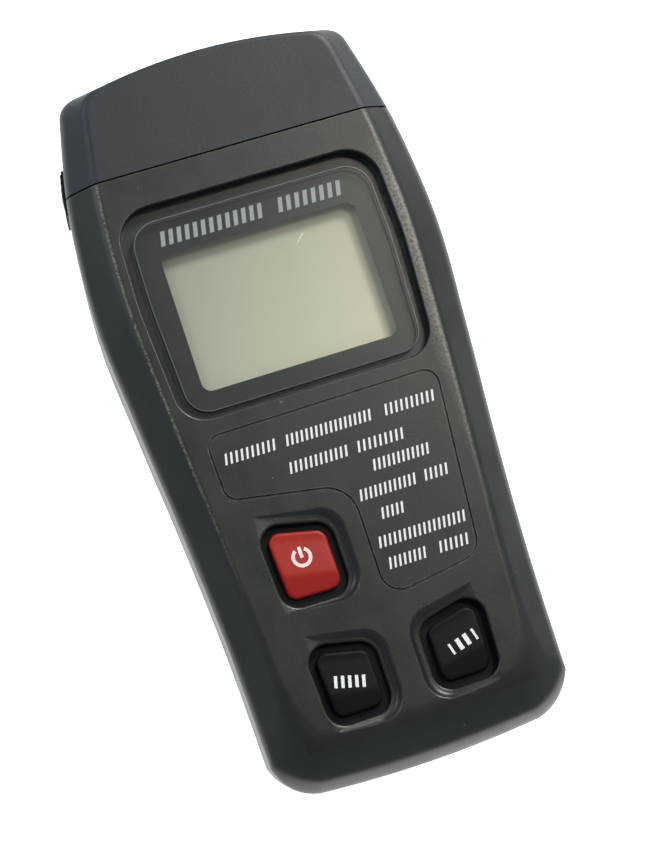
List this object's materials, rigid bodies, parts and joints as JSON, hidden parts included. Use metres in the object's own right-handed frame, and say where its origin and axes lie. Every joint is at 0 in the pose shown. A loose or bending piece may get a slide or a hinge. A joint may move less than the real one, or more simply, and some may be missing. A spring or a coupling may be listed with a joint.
{
  "type": "moisture meter",
  "caption": "Pocket two-pin moisture meter with a slip-on cap over its probe pins, a display window and three keys.",
  "frame": {"origin": "on the surface the meter lies on, under the middle of its box", "axes": "+X to the right and +Y towards the pins as the front is read, +Z out of the front"},
  "size_m": [0.062, 0.1276, 0.029],
  "materials": {
    "case_front": "fine-textured moulded ABS, warm dark grey",
    "case_rear": "fine-textured moulded ABS, cool dark grey",
    "cap": "fine-textured moulded ABS, bluish dark grey",
    "lens": "clear acrylic with a dark frame printed on its back",
    "lcd": "reflective liquid crystal cell, pale grey-green",
    "red_key": "satin moulded plastic",
    "black_key": "satin moulded plastic",
    "silicone": "grey silicone rubber",
    "board": "glass-epoxy laminate with green solder mask",
    "chip": "moulded epoxy",
    "ceramic": "ceramic body with a dark film",
    "trimmer": "blue plastic",
    "steel": "bright ground stainless steel",
    "brass": "turned brass",
    "zinc_screw": "zinc-plated steel",
    "block": "black insulating plastic",
    "battery_can": "plain printed steel can, no marks",
    "rubber": "black vinyl",
    "red_wire": "red insulation",
    "black_wire": "black insulation"
  },
  "bodies": {
    "case": {"front_housing": "case_front", "rear_housing": "case_rear", "display_lens": "lens", "lcd_glass": "lcd", "lcd_frame": "block", "zebra_connector": "silicone", "power_dome": "silicone", "mode_dome": "silicone", "hold_dome": "silicone", "circuit_board": "board", "controller_chip": "chip", "amplifier_chip": "chip", "voltage_regulator": "chip", "calibration_trimmer": "trimmer", "electrolytic_capacitor": "battery_can", "chip_resistor_1": "ceramic", "chip_resistor_2": "ceramic", "chip_resistor_3": "ceramic", "chip_resistor_4": "ceramic", "battery": "battery_can", "battery_stud_positive": "steel", "battery_stud_negative": "steel", "battery_snap": "rubber", "battery_lead_red": "red_wire", "battery_lead_black": "black_wire", "pin_block": "block", "electrode_pin_left": "steel", "electrode_pin_right": "steel", "pin_collar_left": "brass", "pin_collar_right": "brass", "pin_nut_left": "brass", "pin_nut_right": "brass", "pin_lead_left": "black_wire", "pin_lead_right": "black_wire", "case_screw_1": "zinc_screw", "case_screw_2": "zinc_screw", "case_screw_3": "zinc_screw", "case_screw_4": "zinc_screw", "board_screw_1": "zinc_screw", "board_screw_2": "zinc_screw", "board_screw_3": "zinc_screw", "board_screw_4": "zinc_screw"},
    "cap": {"protective_cap": "cap"},
    "power_key": {"power_button": "red_key"},
    "mode_key": {"mode_button": "black_key"},
    "hold_key": {"hold_button": "black_key"},
    "door": {"battery_door": "case_rear"}
  },
  "joints": [
    {"name": "cap_slide", "type": "slide", "parent": "case", "child": "cap", "axis": [0, 1, 0], "range_m": [0, 0.04]},
    {"name": "door_slide", "type": "slide", "parent": "case", "child": "door", "axis": [0, -1, 0], "range_m": [0, 0.062]},
    {"name": "power_press", "type": "slide", "parent": "case", "child": "power_key", "axis": [0, 0, -1], "range_m": [0, 0.001], "stiffness_N_per_m": 1500, "deforming": ["power_dome"]},
    {"name": "mode_press", "type": "slide", "parent": "case", "child": "mode_key", "axis": [0, 0, -1], "range_m": [0, 0.001], "stiffness_N_per_m": 1500, "deforming": ["mode_dome"]},
    {"name": "hold_press", "type": "slide", "parent": "case", "child": "hold_key", "axis": [0, 0, -1], "range_m": [0, 0.001], "stiffness_N_per_m": 1500, "deforming": ["hold_dome"]}
  ]
}
